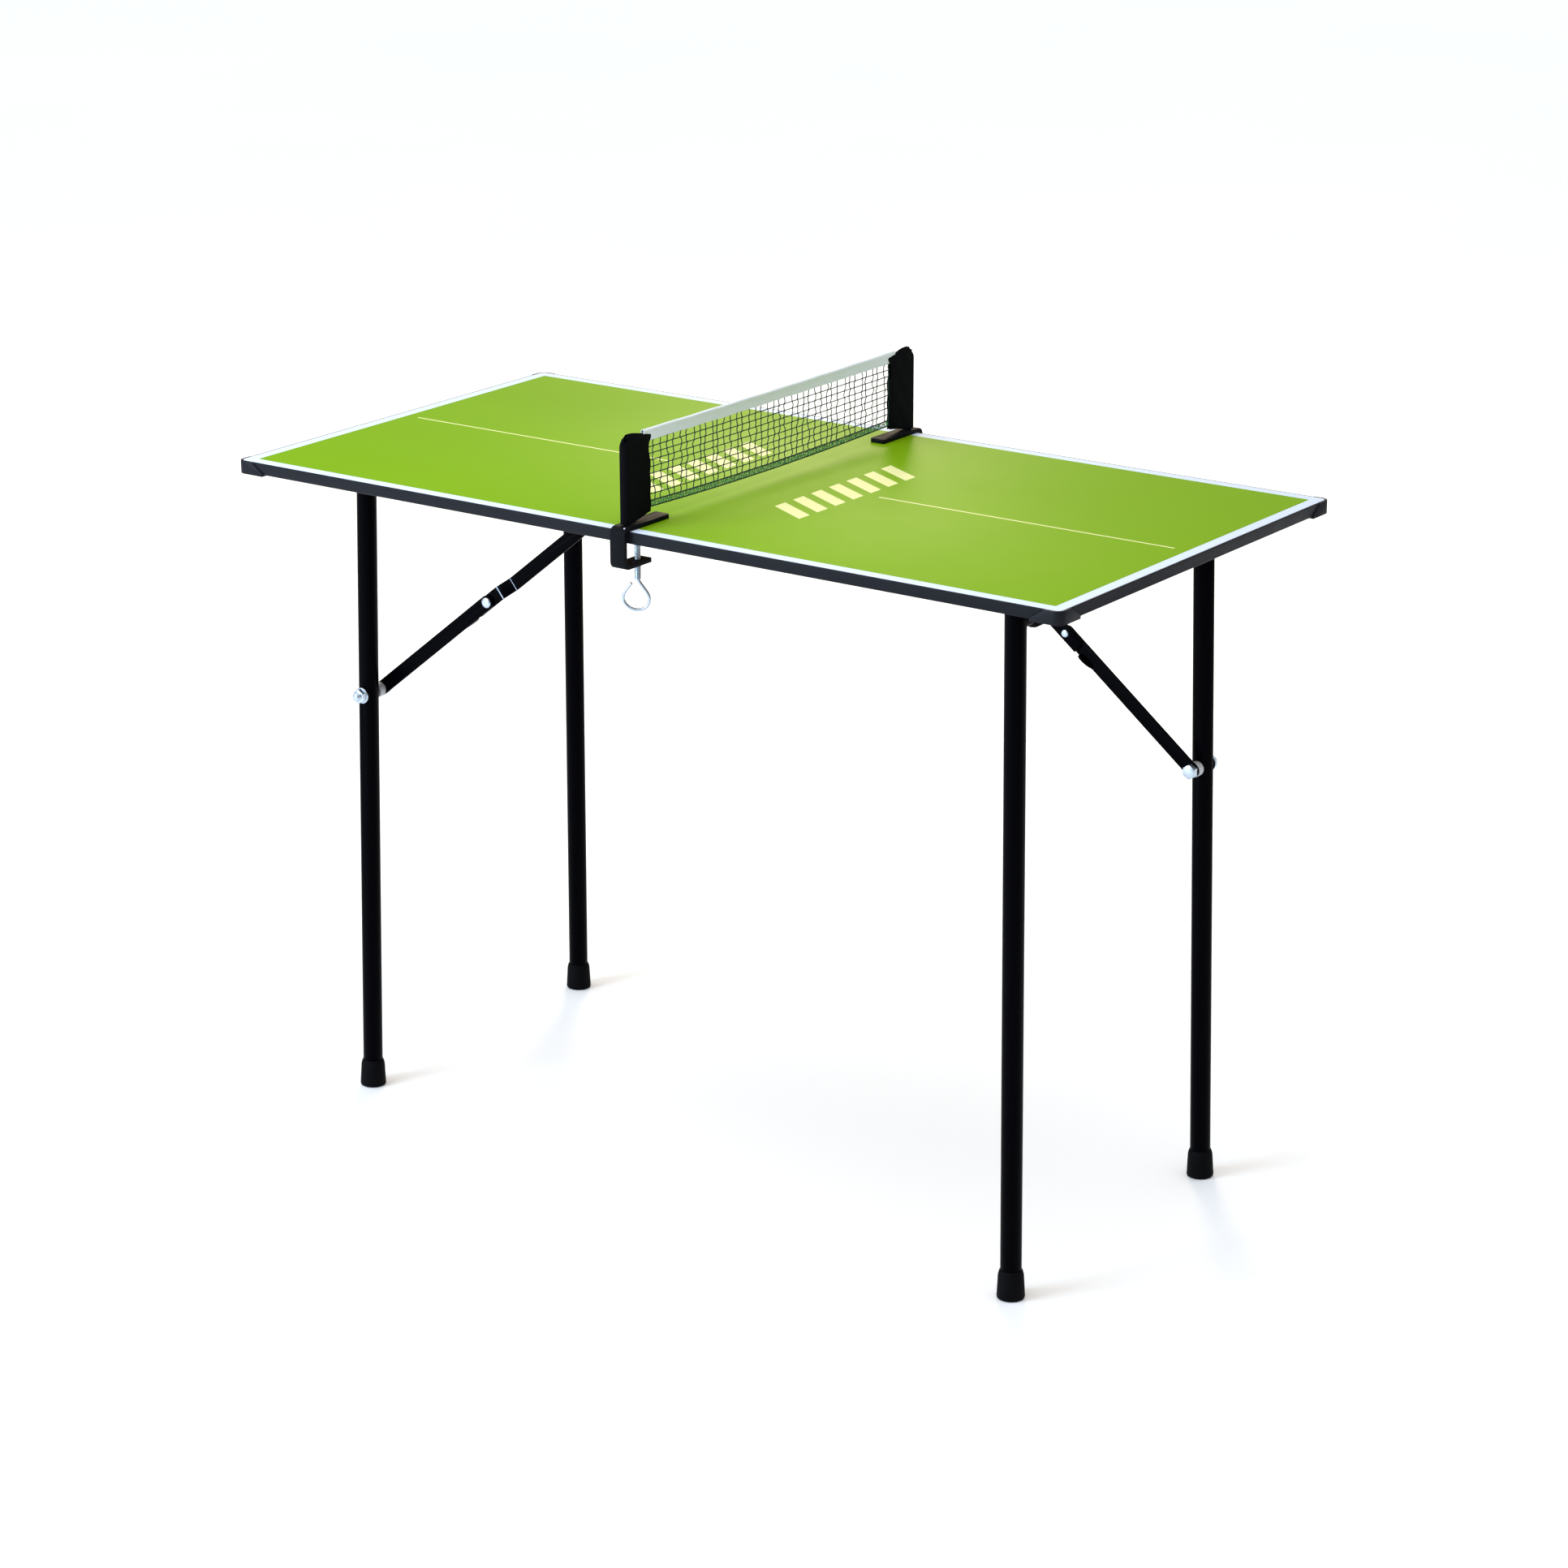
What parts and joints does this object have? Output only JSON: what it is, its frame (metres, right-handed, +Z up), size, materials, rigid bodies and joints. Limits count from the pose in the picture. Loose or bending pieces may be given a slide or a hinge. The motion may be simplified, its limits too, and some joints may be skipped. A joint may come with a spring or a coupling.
{
  "type": "folding ping pong table",
  "caption": "Small folding table-tennis table with a white-lined green board in a black rim, tube leg frames with jointed braces, and a clamp-on net.",
  "frame": {"origin": "on the floor, at the centre of the footprint", "axes": "+X along the board's long side, +Y across it, away from the viewer of the stored view, and +Z up"},
  "size_m": [0.9058, 0.468, 0.7276],
  "materials": {
    "board_green": "satin green paint with a white edge line and thin pale centre lines",
    "rim_plastic": "satin black moulding",
    "frame_paint": "semi-gloss black powder coat",
    "foot_rubber": "matte",
    "zinc_steel": "bright zinc plate",
    "spacer_plastic": "plain",
    "sleeve_cloth": "woven nylon",
    "net_cord": "braided cord",
    "net_tape": "woven white tape"
  },
  "bodies": {
    "tabletop": {"block_screw_left_1": "zinc_steel", "block_screw_left_2": "zinc_steel", "block_screw_left_3": "zinc_steel", "block_screw_left_4": "zinc_steel", "block_screw_right_1": "zinc_steel", "block_screw_right_2": "zinc_steel", "block_screw_right_3": "zinc_steel", "block_screw_right_4": "zinc_steel", "brace_bracket_left": "frame_paint", "brace_bracket_right": "frame_paint", "bracket_rivet_left": "zinc_steel", "bracket_rivet_right": "zinc_steel", "clamp_bracket_far": "frame_paint", "clamp_bracket_near": "frame_paint", "corner_cap_left_far": "rim_plastic", "corner_cap_left_near": "rim_plastic", "corner_cap_right_far": "rim_plastic", "corner_cap_right_near": "rim_plastic", "edge_trim_far": "rim_plastic", "edge_trim_left": "rim_plastic", "edge_trim_near": "rim_plastic", "edge_trim_right": "rim_plastic", "net_panel": "net_cord", "net_post_far": "frame_paint", "net_post_near": "frame_paint", "net_sleeve_far": "sleeve_cloth", "net_sleeve_near": "sleeve_cloth", "net_tape": "net_tape", "pivot_block_left_far": "rim_plastic", "pivot_block_left_near": "rim_plastic", "pivot_block_right_far": "rim_plastic", "pivot_block_right_near": "rim_plastic", "tabletop_board": "board_green"},
    "leg_frame_left": {"brace_bolt_left": "zinc_steel", "brace_nut_left": "zinc_steel", "brace_spacer_left": "spacer_plastic", "crossbar_left": "frame_paint", "foot_left_far": "foot_rubber", "foot_left_near": "foot_rubber", "leg_tube_left_far": "frame_paint", "leg_tube_left_near": "frame_paint"},
    "leg_frame_right": {"brace_bolt_right": "zinc_steel", "brace_nut_right": "zinc_steel", "brace_spacer_right": "spacer_plastic", "crossbar_right": "frame_paint", "foot_right_far": "foot_rubber", "foot_right_near": "foot_rubber", "leg_tube_right_far": "frame_paint", "leg_tube_right_near": "frame_paint"},
    "brace_lower_left": {"brace_lower_left": "frame_paint", "knee_rivet_left": "zinc_steel"},
    "brace_lower_right": {"brace_lower_right": "frame_paint", "knee_rivet_right": "zinc_steel"},
    "brace_upper_left": {"brace_upper_left": "frame_paint"},
    "brace_upper_right": {"brace_upper_right": "frame_paint"},
    "screw_pad_near": {"screw_pad_near": "zinc_steel"},
    "screw_pad_far": {"screw_pad_far": "zinc_steel"},
    "clamp_screw_near": {"clamp_screw_near": "zinc_steel"},
    "clamp_screw_far": {"clamp_screw_far": "zinc_steel"}
  },
  "joints": [
    {"name": "leg_fold_left", "type": "hinge", "parent": "tabletop", "child": "leg_frame_left", "pos_m": [-0.3801, 0, 0.615], "axis": [0, -1, 0], "range_deg": [0, 87.45]},
    {"name": "brace_upper_turn_left", "type": "hinge", "parent": "tabletop", "child": "brace_upper_left", "pos_m": [-0.1385, -0.10275, 0.6], "axis": [0, -1, 0], "range_deg": [0, 137.96]},
    {"name": "brace_lower_turn_left", "type": "hinge", "parent": "leg_frame_left", "child": "brace_lower_left", "pos_m": [-0.38379, -0.11355, 0.4036], "axis": [0, -1, 0], "range_deg": [-129.88, 0]},
    {"name": "leg_fold_right", "type": "hinge", "parent": "tabletop", "child": "leg_frame_right", "pos_m": [0.3801, 0, 0.615], "axis": [0, 1, 0], "range_deg": [0, 87.45]},
    {"name": "brace_upper_turn_right", "type": "hinge", "parent": "tabletop", "child": "brace_upper_right", "pos_m": [0.1385, 0.10275, 0.6], "axis": [0, 1, 0], "range_deg": [0, 137.96]},
    {"name": "brace_lower_turn_right", "type": "hinge", "parent": "leg_frame_right", "child": "brace_lower_right", "pos_m": [0.38379, 0.11355, 0.4036], "axis": [0, 1, 0], "range_deg": [-129.88, 0]},
    {"name": "pad_travel_near", "type": "slide", "parent": "tabletop", "child": "screw_pad_near", "axis": [0, 0, -1], "range_m": [0, 0.012]},
    {"name": "screw_turn_near", "type": "hinge", "parent": "screw_pad_near", "child": "clamp_screw_near", "pos_m": [0, -0.205, 0.612], "axis": [0, 0, -1], "range_deg": [0, 4321]},
    {"name": "pad_travel_far", "type": "slide", "parent": "tabletop", "child": "screw_pad_far", "axis": [0, 0, -1], "range_m": [0, 0.012]},
    {"name": "screw_turn_far", "type": "hinge", "parent": "screw_pad_far", "child": "clamp_screw_far", "pos_m": [0, 0.205, 0.612], "axis": [0, 0, -1], "range_deg": [0, 4321]}
  ],
  "couplings": [
    {"joint": "brace_upper_turn_left", "follows": "leg_fold_left", "ratio": 1.5754},
    {"joint": "brace_lower_turn_left", "follows": "leg_fold_left", "ratio": -1.483},
    {"joint": "brace_upper_turn_right", "follows": "leg_fold_right", "ratio": 1.5754},
    {"joint": "brace_lower_turn_right", "follows": "leg_fold_right", "ratio": -1.483},
    {"joint": "screw_turn_near", "follows": "pad_travel_near", "rad_per_m": 6283.2},
    {"joint": "screw_turn_far", "follows": "pad_travel_far", "rad_per_m": 6283.2}
  ]
}
